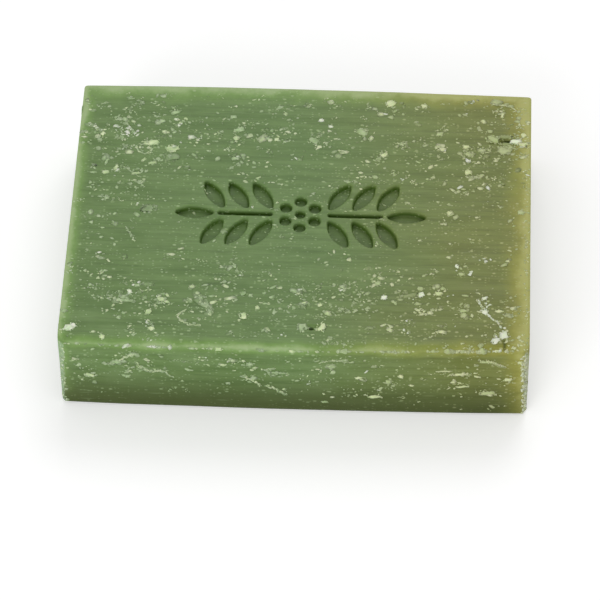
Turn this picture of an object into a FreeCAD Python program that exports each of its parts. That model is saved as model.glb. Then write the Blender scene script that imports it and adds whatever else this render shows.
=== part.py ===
import FreeCAD, Part
import math
import os
import Sketcher

# Bar of soap, cut from a poured block and pressed with a stamp.
# It lies flat with the stamped side up. X runs along the bar, Y across it to the back, Z up.
# The origin is the middle of the underside.

doc = FreeCAD.newDocument("bar_of_soap")

# Driving sizes, in millimetres and degrees
sizes = doc.addObject("Spreadsheet::Sheet", "sizes")
driving = {
    # the bar itself
    "bar_length": 85.0,
    "end_width": 63.0,
    "side_bow": 0.5,
    "bar_height": 18.5,
    "top_edge_radius": 1.6,
    "foot_edge_radius": 1.0,
    "end_rim_bevel": 0.5,
    "front_corner_bevel": 0.9,
    "back_corner_bevel": 0.3,
    # the pressed ornament
    "stamp_depth": 1.2,
    "stamp_draft": 12.0,
    "stamp_rim_bevel": 0.2,
    # leaves, in pairs along a stem
    "leaf_length": 7.2,
    "leaf_width": 3.0,
    "leaf_tip_radius": 0.6,
    "leaf_lean": 60.0,
    "leaf_pitch": 4.5,
    "leaf_pairs": 3,
    "stem_width": 1.1,
    "land": 0.7,
    # the flower between the two sprigs
    "petal_radius": 1.2,
    "petal_count": 6,
    "eye_radius": 1.0,
    # torn pit near the right end
    "pit_from_end": 4.8,
    "pit_from_back": 12.4,
    "pit_length": 7.0,
    "pit_width": 2.4,
    "pit_depth": 0.7,
    # nick in the back edge
    "nick_from_end": 7.0,
    "nick_length": 3.2,
    "nick_depth": 0.5,
    # tear in the top, close to the front edge
    "tear_from_front": 5.3,
    "tear_right_of_middle": 3.3,
    "tear_length": 3.6,
    "tear_width": 1.4,
    "tear_depth": 0.5,
}
for row, (alias, value) in enumerate(driving.items(), start=1):
    sizes.set("A%d" % row, alias)
    sizes.set("B%d" % row, str(value))
    sizes.setAlias("B%d" % row, alias)
doc.recompute()


def size(alias):
    return float(sizes.get(alias))


def bind(thing, path, formula):
    """Tie a property or a named constraint to the sheet."""
    thing.setExpression(path, formula)


def originPlane(body, role):
    return next(f for f in body.Origin.OriginFeatures if f.Role == role)


def flatSketch(body, name, height=None):
    """A sketch that lies level, at a height given as a formula on the sheet."""
    sketch = body.newObject("Sketcher::SketchObject", name)
    sketch.AttachmentSupport = [(originPlane(body, "XY_Plane"), "")]
    sketch.MapMode = "FlatFace"
    if height:
        bind(sketch, "AttachmentOffset.Base.z", height)
    return sketch


def constrain(sketch, name, formula, *definition):
    """Add a constraint with a name, and bind its value to the sheet."""
    number = sketch.addConstraint(Sketcher.Constraint(*definition))
    sketch.renameConstraint(number, name)
    bind(sketch, "Constraints." + name, formula)


# Numbers of the points on an edge, and of a sketch's own axes
START, END, CENTRE = range(1, 4)
X_AXIS, Y_AXIS = range(-1, -3, -1)
ORIGIN_POINT = (X_AXIS, START)
UP = FreeCAD.Vector(0, 0, 1)


def arc(centre, radius, first, last):
    """An arc that runs anticlockwise between two angles in radians."""
    circle = Part.Circle(FreeCAD.Vector(centre[0], centre[1], 0), UP, radius)
    return Part.ArcOfCircle(circle, first, last)


def shapeCheck(feature):
    """The feature has to be made, valid and one solid."""
    doc.recompute()
    if "Invalid" in feature.State or "Error" in feature.State:
        raise RuntimeError(feature.Name + " failed")
    if feature.Shape.isNull() or not feature.Shape.isValid():
        raise RuntimeError(feature.Name + " has no valid shape")
    return feature.Shape.Volume


def pressIn(body, sketch, name):
    """Press one outline of the ornament into the top, with drafted walls."""
    before = body.Tip.Shape.Volume
    pocket = body.newObject("PartDesign::Pocket", name)
    pocket.Profile = sketch
    pocket.Reversed = False
    bind(pocket, "Length", "sizes.stamp_depth")
    bind(pocket, "TaperAngle", "-sizes.stamp_draft")
    if shapeCheck(pocket) >= before:
        raise RuntimeError(name + " cuts nothing")
    return pocket


# Block: the plan has straight cut ends and long sides that bow out a little
bar = doc.addObject("PartDesign::Body", "soap_bar")
bar.Label = "soap_bar"


def planSketch(body):
    sketch = flatSketch(body, "plan")
    halfLength = size("bar_length") / 2
    halfWidth = size("end_width") / 2
    bow = size("side_bow")
    radius = (halfLength**2 + bow**2) / (2 * bow)
    centreY = halfWidth + bow - radius
    swing = math.asin(halfLength / radius)
    quarter = math.pi / 2
    corners = [
        FreeCAD.Vector(halfLength, -halfWidth, 0),
        FreeCAD.Vector(halfLength, halfWidth, 0),
        FreeCAD.Vector(-halfLength, halfWidth, 0),
        FreeCAD.Vector(-halfLength, -halfWidth, 0),
    ]
    right = sketch.addGeometry(Part.LineSegment(corners[0], corners[1]))
    back = sketch.addGeometry(arc((0, centreY), radius, quarter - swing, quarter + swing))
    left = sketch.addGeometry(Part.LineSegment(corners[2], corners[3]))
    front = sketch.addGeometry(arc((0, -centreY), radius, -quarter - swing, -quarter + swing))
    outline = [right, back, left, front]
    for this, following in zip(outline, outline[1:] + outline[:1]):
        sketch.addConstraint(Sketcher.Constraint("Coincident", this, END, following, START))
    sketch.addConstraint(Sketcher.Constraint("Symmetric", right, START, right, END, X_AXIS))
    sketch.addConstraint(Sketcher.Constraint("Symmetric", right, START, left, END, Y_AXIS))
    sketch.addConstraint(Sketcher.Constraint("Symmetric", right, END, left, START, Y_AXIS))
    constrain(sketch, "length", "sizes.bar_length", "DistanceX", front, START, front, END, 2 * halfLength)
    constrain(sketch, "width", "sizes.end_width", "DistanceY", right, START, right, END, 2 * halfWidth)
    bowRadius = "(sizes.bar_length ^ 2 / 4 + sizes.side_bow ^ 2) / (2 * sizes.side_bow)"
    constrain(sketch, "back_radius", bowRadius, "Radius", back, radius)
    constrain(sketch, "front_radius", bowRadius, "Radius", front, radius)
    return sketch


block = bar.newObject("PartDesign::Pad", "block")
block.Profile = planSketch(bar)
bind(block, "Length", "sizes.bar_height")
shapeCheck(block)


# Edges: the long edges are well rounded, the cut ends are crisper with bevelled corners
def edgeNames(shape, wanted):
    return ["Edge%d" % n for n, edge in enumerate(shape.Edges, start=1) if wanted(edge)]


def same(first, second):
    """Two lengths read from the shape are the same, within a hundredth of a millimetre."""
    return math.isclose(first, second, abs_tol=1e-2)


def isUpright(edge):
    return same(edge.BoundBox.ZLength, size("bar_height"))


def isLevelAt(edge, height):
    return same(edge.BoundBox.ZLength, 0) and same(edge.BoundBox.ZMin, height)


def runsAlong(edge):
    return edge.BoundBox.XLength > size("bar_length") / 2


def dress(body, kind, name, wanted, sizeName):
    """Round or bevel the edges of the body that are wanted."""
    base = body.Tip
    feature = body.newObject("PartDesign::" + kind, name)
    feature.Base = (base, edgeNames(base.Shape, wanted))
    bind(feature, "Size" if kind == "Chamfer" else "Radius", "sizes." + sizeName)
    shapeCheck(feature)
    return feature


dress(
    bar,
    "Chamfer",
    "front_corners",
    lambda edge: isUpright(edge) and edge.BoundBox.YMax < 0,
    "front_corner_bevel",
)
dress(
    bar,
    "Chamfer",
    "back_corners",
    lambda edge: isUpright(edge) and edge.BoundBox.YMin > size("end_width") / 2 - size("back_corner_bevel"),
    "back_corner_bevel",
)
dress(
    bar,
    "Fillet",
    "top_long_edges",
    lambda edge: isLevelAt(edge, size("bar_height")) and runsAlong(edge),
    "top_edge_radius",
)
dress(
    bar,
    "Fillet",
    "foot_long_edges",
    lambda edge: isLevelAt(edge, 0) and runsAlong(edge),
    "foot_edge_radius",
)


def isEndRim(edge):
    """The level edges of the cut ends, at the top and at the foot."""
    box = edge.BoundBox
    onEnd = same(abs(box.XMin), size("bar_length") / 2) and same(box.XLength, 0)
    return onEnd and box.YLength > size("end_width") / 2


dress(bar, "Chamfer", "end_rims", isEndRim, "end_rim_bevel")


# Ornament: two leafy sprigs that point away from a small flower
def stampSketch(body, name):
    return flatSketch(body, name, "sizes.bar_height")


def leafOutline(sketch, baseX, baseY, lean):
    """A leaf: two long side arcs joined by two small tip arcs, about a slanted midrib."""
    tip = size("leaf_tip_radius")
    reach = size("leaf_length") - 2 * tip
    half = size("leaf_width") / 2
    side = ((reach / 2) ** 2 + half**2 - tip**2) / (2 * (half - tip))
    lean = math.radians(lean)
    along = FreeCAD.Vector(math.cos(lean), math.sin(lean), 0)
    across = FreeCAD.Vector(-math.sin(lean), math.cos(lean), 0)
    base = FreeCAD.Vector(baseX, baseY, 0)
    point = base + along * reach
    middle = base + along * (reach / 2)
    swing = math.asin(reach / 2 / (side - tip))
    quarter = math.pi / 2
    midrib = sketch.addGeometry(Part.LineSegment(base, point), True)
    upper = sketch.addGeometry(
        arc(middle + across * (half - side), side, lean + quarter - swing, lean + quarter + swing)
    )
    root = sketch.addGeometry(arc(base, tip, lean + quarter + swing, lean - quarter - swing + 4 * quarter))
    lower = sketch.addGeometry(
        arc(middle - across * (half - side), side, lean - quarter - swing, lean - quarter + swing)
    )
    end = sketch.addGeometry(arc(point, tip, lean - quarter + swing, lean + quarter - swing))
    outline = [upper, root, lower, end]
    for this, following in zip(outline, outline[1:] + outline[:1]):
        sketch.addConstraint(Sketcher.Constraint("Tangent", this, END, following, START))
    sketch.addConstraint(Sketcher.Constraint("Coincident", root, CENTRE, midrib, START))
    sketch.addConstraint(Sketcher.Constraint("Coincident", end, CENTRE, midrib, END))
    ribLength = "sizes.leaf_length - 2 * sizes.leaf_tip_radius"
    constrain(sketch, "reach", ribLength, "Distance", midrib, START, midrib, END, reach)
    constrain(sketch, "root_radius", "sizes.leaf_tip_radius", "Radius", root, tip)
    constrain(sketch, "end_radius", "sizes.leaf_tip_radius", "Radius", end, tip)
    sideRadius = (
        "((sizes.leaf_length / 2 - sizes.leaf_tip_radius) ^ 2 + (sizes.leaf_width / 2) ^ 2"
        " - sizes.leaf_tip_radius ^ 2) / (sizes.leaf_width - 2 * sizes.leaf_tip_radius)"
    )
    constrain(sketch, "upper_side", sideRadius, "Radius", upper, side)
    constrain(sketch, "lower_side", sideRadius, "Radius", lower, side)
    return midrib


# The flower's reach decides where the sprigs start
petalRing = "(sizes.petal_radius + sizes.land / 2) / sin(180 / sizes.petal_count)"
flowerReach = petalRing + " + sizes.petal_radius"
stemStart = flowerReach + " + sizes.land"
leafStart = flowerReach + " + sizes.land + sizes.leaf_tip_radius"
leafSide = "sizes.stem_width / 2 + sizes.land + sizes.leaf_tip_radius"
petalRingNow = (size("petal_radius") + size("land") / 2) / math.sin(math.pi / size("petal_count"))
flowerReachNow = petalRingNow + size("petal_radius")
stemStartNow = flowerReachNow + size("land")
leafStartNow = stemStartNow + size("leaf_tip_radius")
leafSideNow = size("stem_width") / 2 + size("land") + size("leaf_tip_radius")

# One leaf, stepped along the stem and mirrored to all four quarters
leafSketch = stampSketch(bar, "leaf_outline")
rib = leafOutline(leafSketch, leafStartNow, leafSideNow, size("leaf_lean"))
constrain(leafSketch, "lean", "sizes.leaf_lean", "Angle", rib, math.radians(size("leaf_lean")))
constrain(leafSketch, "from_middle", leafStart, "DistanceX", *ORIGIN_POINT, rib, START, leafStartNow)
constrain(leafSketch, "from_stem", leafSide, "DistanceY", *ORIGIN_POINT, rib, START, leafSideNow)
leafPocket = pressIn(bar, leafSketch, "leaf")
leaves = bar.newObject("PartDesign::MultiTransform", "leaves")
leaves.Originals = [leafPocket]
steps = bar.newObject("PartDesign::LinearPattern", "leaf_steps")
steps.Direction = (leafSketch, ["H_Axis"])
bind(steps, "Length", "sizes.leaf_pitch * (sizes.leaf_pairs - 1)")
bind(steps, "Occurrences", "sizes.leaf_pairs")
across = bar.newObject("PartDesign::Mirrored", "leaf_other_side")
across.MirrorPlane = (leafSketch, ["H_Axis"])
opposite = bar.newObject("PartDesign::Mirrored", "leaf_other_sprig")
opposite.MirrorPlane = (leafSketch, ["V_Axis"])
leaves.Transformations = [steps, across, opposite]
bar.Tip = leaves
shapeCheck(leaves)


# Flower: a round eye, and one round petal repeated about it
def roundPress(body, name, radiusName, outwards):
    """Press a round hollow with drafted walls, outwards from the ornament's middle along Y."""
    before = body.Tip.Shape.Volume
    hollow = body.newObject("PartDesign::SubtractiveCone", name)
    hollow.AttachmentSupport = [(originPlane(body, "XY_Plane"), "")]
    hollow.MapMode = "FlatFace"
    bind(hollow, "AttachmentOffset.Base.y", outwards)
    bind(hollow, "AttachmentOffset.Base.z", "sizes.bar_height - sizes.stamp_depth")
    bind(hollow, "Height", "sizes.stamp_depth")
    bind(hollow, "Radius1", "sizes.%s - sizes.stamp_depth * tan(sizes.stamp_draft)" % radiusName)
    bind(hollow, "Radius2", "sizes." + radiusName)
    if shapeCheck(hollow) >= before:
        raise RuntimeError(name + " cuts nothing")
    return hollow


roundPress(bar, "flower_eye", "eye_radius", "0")
petal = roundPress(bar, "petal", "petal_radius", petalRing)
petals = bar.newObject("PartDesign::PolarPattern", "petals")
petals.Originals = [petal]
petals.Axis = (leafSketch, ["N_Axis"])
petals.Angle = 360
bind(petals, "Occurrences", "sizes.petal_count")
bar.Tip = petals
shapeCheck(petals)

# The leaf at the end of each sprig
stemEnd = leafStart + " + sizes.leaf_pitch * (sizes.leaf_pairs - 1) + sizes.land"
stemEndNow = leafStartNow + size("leaf_pitch") * (size("leaf_pairs") - 1) + size("land")
endLeafSketch = stampSketch(bar, "end_leaf_outline")
endLeafNow = stemEndNow + size("land") + size("leaf_tip_radius")
rib = leafOutline(endLeafSketch, endLeafNow, 0, 0)
endLeafSketch.addConstraint(Sketcher.Constraint("PointOnObject", rib, START, X_AXIS))
endLeafSketch.addConstraint(Sketcher.Constraint("Horizontal", rib))
endLeaf = stemEnd + " + sizes.land + sizes.leaf_tip_radius"
constrain(endLeafSketch, "from_middle", endLeaf, "DistanceX", *ORIGIN_POINT, rib, START, endLeafNow)
endLeafPocket = pressIn(bar, endLeafSketch, "end_leaf")
endLeaves = bar.newObject("PartDesign::Mirrored", "end_leaves")
endLeaves.Originals = [endLeafPocket]
endLeaves.MirrorPlane = (endLeafSketch, ["V_Axis"])
bar.Tip = endLeaves
shapeCheck(endLeaves)


# Stem: a groove with round ends
def stemOutline(sketch):
    radius = size("stem_width") / 2
    first = stemStartNow + radius
    last = stemEndNow - radius
    corner = FreeCAD.Vector
    quarter = math.pi / 2
    near = sketch.addGeometry(arc((first, 0), radius, quarter, 3 * quarter))
    front = sketch.addGeometry(Part.LineSegment(corner(first, -radius, 0), corner(last, -radius, 0)))
    far = sketch.addGeometry(arc((last, 0), radius, -quarter, quarter))
    back = sketch.addGeometry(Part.LineSegment(corner(last, radius, 0), corner(first, radius, 0)))
    outline = [near, front, far, back]
    for this, following in zip(outline, outline[1:] + outline[:1]):
        sketch.addConstraint(Sketcher.Constraint("Tangent", this, END, following, START))
    sketch.addConstraint(Sketcher.Constraint("PointOnObject", near, CENTRE, X_AXIS))
    sketch.addConstraint(Sketcher.Constraint("PointOnObject", far, CENTRE, X_AXIS))
    constrain(sketch, "half_width", "sizes.stem_width / 2", "Radius", near, radius)
    nearEnd = stemStart + " + sizes.stem_width / 2"
    farEnd = stemEnd + " - sizes.stem_width / 2"
    constrain(sketch, "near_end", nearEnd, "DistanceX", *ORIGIN_POINT, near, CENTRE, first)
    constrain(sketch, "far_end", farEnd, "DistanceX", *ORIGIN_POINT, far, CENTRE, last)


stemSketch = stampSketch(bar, "stem_outline")
stemOutline(stemSketch)
stemPocket = pressIn(bar, stemSketch, "stem")
stems = bar.newObject("PartDesign::Mirrored", "stems")
stems.Originals = [stemPocket]
stems.MirrorPlane = (stemSketch, ["V_Axis"])
bar.Tip = stems
shapeCheck(stems)


# The press leaves soft rims
def isTopFace(face):
    return isLevelAt(face, size("bar_height"))


topFace = max(filter(isTopFace, bar.Tip.Shape.Faces), key=lambda face: face.Area)
hollowWires = [wire for wire in topFace.Wires if not wire.isSame(topFace.OuterWire)]
hollowRims = [rim for wire in hollowWires for rim in wire.Edges]


def isStampRim(edge):
    """The rims of the hollows in the flat top, without the top's own outline."""
    return any(edge.isSame(rim) for rim in hollowRims)


dress(bar, "Chamfer", "stamp_rims", isStampRim, "stamp_rim_bevel")


# Wear: shallow lens-shaped hollows where soap broke away
def scoop(body, name, place, radii):
    """Take an ellipsoid out of the body. place and radii are formulas along X, Y and Z."""
    before = body.Tip.Shape.Volume
    hollow = body.newObject("PartDesign::SubtractiveEllipsoid", name)
    hollow.AttachmentSupport = [(originPlane(body, "XY_Plane"), "")]
    hollow.MapMode = "FlatFace"
    for axis, formula in zip("xyz", place):
        bind(hollow, "AttachmentOffset.Base." + axis, formula)
    for radius, formula in zip(("Radius2", "Radius3", "Radius1"), radii):
        bind(hollow, radius, formula)
    if shapeCheck(hollow) >= before:
        raise RuntimeError(name + " cuts nothing")
    return hollow


scoop(
    bar,
    "torn_pit",
    (
        "sizes.bar_length / 2 - sizes.pit_from_end",
        "sizes.end_width / 2 - sizes.pit_from_back",
        "sizes.bar_height",
    ),
    ("sizes.pit_length / 2", "sizes.pit_width / 2", "sizes.pit_depth"),
)
scoop(
    bar,
    "edge_nick",
    (
        "sizes.bar_length / 2 - sizes.nick_from_end",
        "sizes.end_width / 2 + sizes.side_bow",
        "sizes.bar_height",
    ),
    (
        "sizes.nick_length / 2",
        "sizes.top_edge_radius * (1 - cos(45)) + sizes.nick_depth",
        "sizes.top_edge_radius * (1 - cos(45)) + sizes.nick_depth",
    ),
)
scoop(
    bar,
    "front_tear",
    (
        "sizes.tear_right_of_middle",
        "sizes.tear_from_front - sizes.end_width / 2 - sizes.side_bow",
        "sizes.bar_height",
    ),
    ("sizes.tear_length / 2", "sizes.tear_width / 2", "sizes.tear_depth"),
)

# Check the whole document, then write the solid
doc.recompute()
for thing in doc.Objects:
    if "Invalid" in thing.State or "Error" in thing.State:
        raise RuntimeError(thing.Name + " failed")
shape = bar.Shape
if shape.isNull() or not shape.isValid() or len(shape.Solids) != 1:
    raise RuntimeError("soap_bar is not one valid solid")
box = shape.optimalBoundingBox()
print("soap_bar %.2f x %.2f x %.2f mm" % (box.XLength, box.YLength, box.ZLength))
print("%.2f cm3 of soap" % (shape.Volume / 1000))

os.makedirs("parts", exist_ok=True)
shape.exportStep(os.path.join("parts", bar.Label + ".step"))
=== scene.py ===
import math

import bmesh
import bpy
import numpy as np
from mathutils import Matrix, Vector
from mathutils.bvhtree import BVHTree
from mathutils.geometry import delaunay_2d_cdt


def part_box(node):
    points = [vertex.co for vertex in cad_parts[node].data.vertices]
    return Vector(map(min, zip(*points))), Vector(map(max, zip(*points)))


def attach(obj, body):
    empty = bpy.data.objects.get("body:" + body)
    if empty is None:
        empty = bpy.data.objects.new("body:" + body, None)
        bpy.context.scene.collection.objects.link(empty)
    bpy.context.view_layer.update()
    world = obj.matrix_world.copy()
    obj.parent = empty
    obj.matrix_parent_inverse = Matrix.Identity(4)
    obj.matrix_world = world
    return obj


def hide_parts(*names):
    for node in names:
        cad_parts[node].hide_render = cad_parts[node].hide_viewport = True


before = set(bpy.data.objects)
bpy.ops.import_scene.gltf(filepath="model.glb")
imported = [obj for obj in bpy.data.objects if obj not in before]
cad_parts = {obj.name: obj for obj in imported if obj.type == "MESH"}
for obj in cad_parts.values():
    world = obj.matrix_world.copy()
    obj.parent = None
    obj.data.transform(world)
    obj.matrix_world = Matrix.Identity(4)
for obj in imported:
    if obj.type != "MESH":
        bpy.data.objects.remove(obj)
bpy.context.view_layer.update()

low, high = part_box("soap_bar")
mm = 0.001  # sizes below are in millimetres, the scene is in metres
length, height = (high.x - low.x) / mm, high.z / mm
boxLow, boxHigh = np.array(low) / mm, np.array(high) / mm

# Camera
shot = {
    "target": (0.872, -20.5, 18.5),
    "distance": 657.8,
    "elevation": 50.948,  # degrees above the floor
    "azimuth": -3.511,
    "roll": 1.216,
    "focal": 218.2,
    "sensor": 36,
    "clip": (0.01, 20),  # metres
}


def placeCamera():
    rise, turn = math.radians(shot["elevation"]), math.radians(shot["azimuth"])
    forward = Vector((math.sin(turn) * math.cos(rise), math.cos(turn) * math.cos(rise), -math.sin(rise)))
    right = forward.cross(Vector((0, 0, 1))).normalized()
    down = forward.cross(right)
    c, s = math.cos(math.radians(shot["roll"])), math.sin(math.radians(shot["roll"]))
    right, down = right * c + down * s, down * c - right * s
    data = bpy.data.cameras.new("camera")
    data.lens, data.sensor_width = shot["focal"], shot["sensor"]
    data.clip_start, data.clip_end = shot["clip"]
    camera = bpy.data.objects.new("camera", data)
    camera.matrix_world = Matrix((right, -down, -forward)).transposed().to_4x4()
    camera.location = (Vector(shot["target"]) - forward * shot["distance"]) * mm
    bpy.context.scene.collection.objects.link(camera)
    bpy.context.scene.camera = camera


placeCamera()
print("camera placed")


# Noise in space, the same each time, from large odd numbers that scramble the cells
hashAxes, hashSeed, hashLast, hashTop = (374761393, 668265263, 2147483647), 974711, 1274126177, 65535


def noise(points, cell, seed):
    # smooth noise from -1 to 1; cell is the size of its lumps along x, y and z
    at = points / np.array(cell, float)
    corner = np.floor(at).astype(np.int64)
    part = at - corner
    part = part * part * (3 - 2 * part)
    total = np.zeros(len(points))
    for far in np.ndindex(2, 2, 2):
        # each corner of the cell, by how near the point is to it
        mixed = (corner + far) @ np.array(hashAxes) + seed * hashSeed
        mixed = (mixed ^ (mixed >> 13)) * hashLast
        value = ((mixed ^ (mixed >> 16)) & hashTop) / (hashTop / 2) - 1
        total += value * np.where(far, part, 1 - part).prod(1)
    return total


# The pressed ornament, as offsets from its outlines
stamp = {
    "depth": 1.2,
    "draft": 12.0,
    "rimRound": 0.28,
    "floorRound": 0.22,
    "leafHalf": 3.0,  # half the midrib between the tip circles
    "leafWidth": 3.0,
    "leafTip": 0.6,
    "leafLean": 60.0,
    "leafRoots": (5.6, 10.1, 14.6),
    "leafFromStem": 1.85,
    "endLeafRoot": 16.6,
    "stem": (5.55, 14.75, 0.55),  # first centre, last centre, half width
    "petalRing": 3.1,
    "petal": 1.2,
    "eye": 1.0,
    "patch": (24.3, 8.9),  # half size of the area meshed for it
    "patchInset": 0.2,
    "patchStep": 0.4,
    "clear": (0.58, 0.42),  # loose points stay this far from an outline, inside and outside it
    "roundSteps": (0, 26, 52),  # degrees along a rounding
    "wallSteps": (0.35, 0.7),
    "points": {"side": 25, "tip": 7, "round": 33, "cap": 9, "stem": 34},
}


def leafPlaces():
    # middle and direction of every leaf
    lean = math.radians(stamp["leafLean"])
    places = []
    for root in stamp["leafRoots"]:
        x = root + stamp["leafHalf"] * math.cos(lean)
        y = stamp["leafFromStem"] + stamp["leafHalf"] * math.sin(lean)
        places += [(x, y, lean), (x, -y, -lean), (-x, y, math.pi - lean), (-x, -y, math.pi + lean)]
    x = stamp["endLeafRoot"] + stamp["leafHalf"]
    return places + [(x, 0, 0), (-x, 0, math.pi)]


def leafArc():
    # radius, centre and half angle of a leaf's side arcs
    half, tip, reach = stamp["leafWidth"] / 2, stamp["leafTip"], stamp["leafHalf"]
    radius = (reach**2 + half**2 - tip**2) / (2 * (half - tip))
    return radius, half - radius, math.asin(reach / (radius - tip))


def roundPlaces():
    ring = stamp["petalRing"]
    turns = [math.radians(90 + 60 * n) for n in range(6)]
    return [(0, 0, stamp["eye"])] + [(ring * math.cos(a), ring * math.sin(a), stamp["petal"]) for a in turns]


def stampDistance(x, y):
    # distance outside the nearest outline, negative inside it
    radius, centre, swing = leafArc()
    nearest = np.full(x.shape, 99.0)
    for px, py, turn in leafPlaces():
        u = np.abs((x - px) * math.cos(turn) + (y - py) * math.sin(turn))
        v = np.abs((y - py) * math.cos(turn) - (x - px) * math.sin(turn))
        side = np.hypot(u, v - centre) - radius
        tip = np.hypot(u - stamp["leafHalf"], v) - stamp["leafTip"]
        nearest = np.minimum(nearest, np.where(np.arctan2(u, v - centre) < swing, side, tip))
    for px, py, r in roundPlaces():
        nearest = np.minimum(nearest, np.hypot(x - px, y - py) - r)
    first, last, r = stamp["stem"]
    along = np.clip(np.abs(x), first, last)
    return np.minimum(nearest, np.hypot(np.abs(x) - along, y) - r)


def stampProfile():
    # how deep the surface lies at each offset, from the floor out to the top
    lean = math.radians(stamp["draft"])
    opening = math.pi / 2 - lean
    rim, floor, depth = stamp["rimRound"], stamp["floorRound"], stamp["depth"]
    rimReach, floorReach = rim * math.tan(opening / 2), floor * math.tan(opening / 2)
    foot = -depth * math.tan(lean)
    turns = np.radians((*stamp["roundSteps"], math.degrees(opening)))
    inner, sunk = foot - floorReach, floor - depth
    rimCurve = [(rimReach - rim * math.sin(a), -rim + rim * math.cos(a)) for a in turns]
    floorCurve = [(inner + floor * math.sin(a), sunk - floor * math.cos(a)) for a in turns]
    start, end = np.array(floorCurve[-1]), np.array(rimCurve[-1])
    wall = [start + (end - start) * share for share in stamp["wallSteps"]]
    return np.array([*floorCurve, *wall, *rimCurve[::-1]])


profile = stampProfile()


def outlines(offset):
    # every closed outline of the ornament, moved outwards by offset
    loops, points = [], stamp["points"]
    radius, centre, swing = leafArc()
    quarter = math.pi / 2
    sideTurns = np.linspace(quarter - swing, quarter + swing, points["side"])
    tipTurns = np.linspace(quarter + swing, 3 * quarter - swing, points["tip"])[1:-1]
    arc, tip = radius + offset, stamp["leafTip"] + offset
    half = [(arc * math.cos(a), centre + arc * math.sin(a)) for a in sideTurns]
    half += [(-stamp["leafHalf"] + tip * math.cos(a), tip * math.sin(a)) for a in tipTurns]
    u, v = np.array(half + [(-u, -v) for u, v in half]).T
    for px, py, turn in leafPlaces():
        c, s = math.cos(turn), math.sin(turn)
        loops.append(np.stack([px + u * c - v * s, py + u * s + v * c], 1))
    turns = np.linspace(0, 2 * math.pi, points["round"])[:-1]
    for px, py, r in roundPlaces():
        reach = r + offset
        loops.append(np.stack([px + reach * np.cos(turns), py + reach * np.sin(turns)], 1))
    first, last, r = stamp["stem"]
    reach = r + offset
    turns = np.linspace(-quarter, quarter, points["cap"])
    cap = [(last + reach * math.cos(a), reach * math.sin(a)) for a in turns]
    cap += [(x, reach) for x in np.linspace(last, first, points["stem"])[1:-1]]
    middle = (first + last) / 2
    stem = np.array(cap + [(2 * middle - x, -y) for x, y in cap])
    return loops + [stem, stem * (-1, -1)]


# The bar's skin
bar = {
    "endWidth": 63.0,
    "bow": 0.5,
    "topRadius": 1.6,
    "backRadius": 1.05,  # the back edge is crisper towards the left end
    "footRadius": 1.0,
    "frontLean": 0.8,  # the front face leans back this much at the top of the right end
    "leanSpan": 40,  # and less on the way there from the middle
    "leftCorner": (0.45, 1.5),  # bevel of the front left corner, at the foot and at the top
    "rightCorner": (0.75, 1.0),
    "backCorner": 0.12,
    "rimBevel": 0.32,
    "shy": 0.12,  # the skin lies this far inside the hard shape, and the flakes fill the rest
    "endShy": 0.06,
    "wear": (0.06, 0.035, 0.016, 0.01),  # least depth, broad waves, drag lines, roughness
    "step": 0.44,
    "topReach": 30.28,
    "endColumns": (0, 0.05, 0.13, 0.26, 0.42, 0.6, 0.8, 1.0, 1.3, 1.7),  # from each end inwards
    "endSpan": 2.1,
    "fineAcross": [(17.2, 20.9, 0.22), (-28.2, -25.4, 0.25)],  # the pit and the tear
    "fineAlong": [(1.0, 6.0, 0.25), (33.6, 41.8, 0.25)],
    "holes": [  # centre, reach, direction, roughness, painted shade inside
        ((37.7, 19.1, 18.5), (3.5, 1.1, 0.5), (0, 0, -1), 0.25, 0),
        ((37.7, 19.3, 18.2), (1.25, 0.24, 1), (0, 0, -1), 0.45, 1),
        ((35.5, 32, 18.5), (1.6, 0.97, 0.97), (0, -0.7071, -0.7071), 0.2, 0),
        ((3.3, -26.7, 18.5), (1.8, 0.7, 0.5), (0, 0, -1), 0.3, 0),
        ((3.2, -26.7, 18.3), (0.7, 0.5, 0.8), (0, 0, -1), 0.4, 0.9),
        ((37.9, -29.8, 18.3), (0.26, 1.7, 0.5), (0, 0, -1), 0.3, 0.5),
    ],
}
rng = np.random.default_rng(41)


def spread(start, end, step, fine=()):
    # places from start to end, closer together inside the fine spans
    places = [start]
    while places[-1] < end:
        here = places[-1]
        places.append(here + min([step] + [s for a, b, s in fine if a - step < here < b]))
    places = np.array(places)
    return start + (places - start) * (end - start) / (places[-1] - start)


def bevel(away, size):
    # how far a bevel of this size pulls the surface in, this far from the end
    soft, lip = 0.16, 0.06
    return 0.5 * (size - away + np.sqrt((size - away) ** 2 + soft**2)) + lip * np.clip(1 - away / lip, 0, 1)


def bevelCorners(points):
    # draw the sides in near the ends; the front corners are worn more at the top
    x, y, z = points.T
    away = length / 2 - bar["endShy"] - np.abs(x)
    corners = bar["leftCorner"], bar["rightCorner"]
    left, right = (foot + (top - foot) * (z / height) for foot, top in corners)
    size = np.where(y > 0, bar["backCorner"], np.where(x < 0, left, right))
    size = size * (1 + 0.22 * noise(points, (9, 9, 1.3), 41) * (y < 0))
    points[:, 1] = y * (1 - bevel(away, size) / (bar["endWidth"] / 2))


def leanFront(points):
    # the front face leans back a little towards the right end
    x, y, z = points.T
    atFront = np.clip(-y / 31, 0, 1) ** 4
    points[:, 1] = y + bar["frontLean"] * (np.clip(x / bar["leanSpan"], 0, 1) * (z / height) * atFront)


def relief(points):
    # depth of the worn surface under the smooth one
    broad = noise(points, (17, 10, 9), 1) + 0.5 * noise(points, (8, 5, 4), 2)
    drag = noise(points, (24, 1.5, 1.4), 3) + 0.5 * noise(points, (9, 0.7, 0.7), 4)
    rough = noise(points, (2.2, 1.1, 1.1), 5)
    least, byBroad, byDrag, byRough = bar["wear"]
    return least + byBroad * broad + byDrag * drag + byRough * rough


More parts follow.
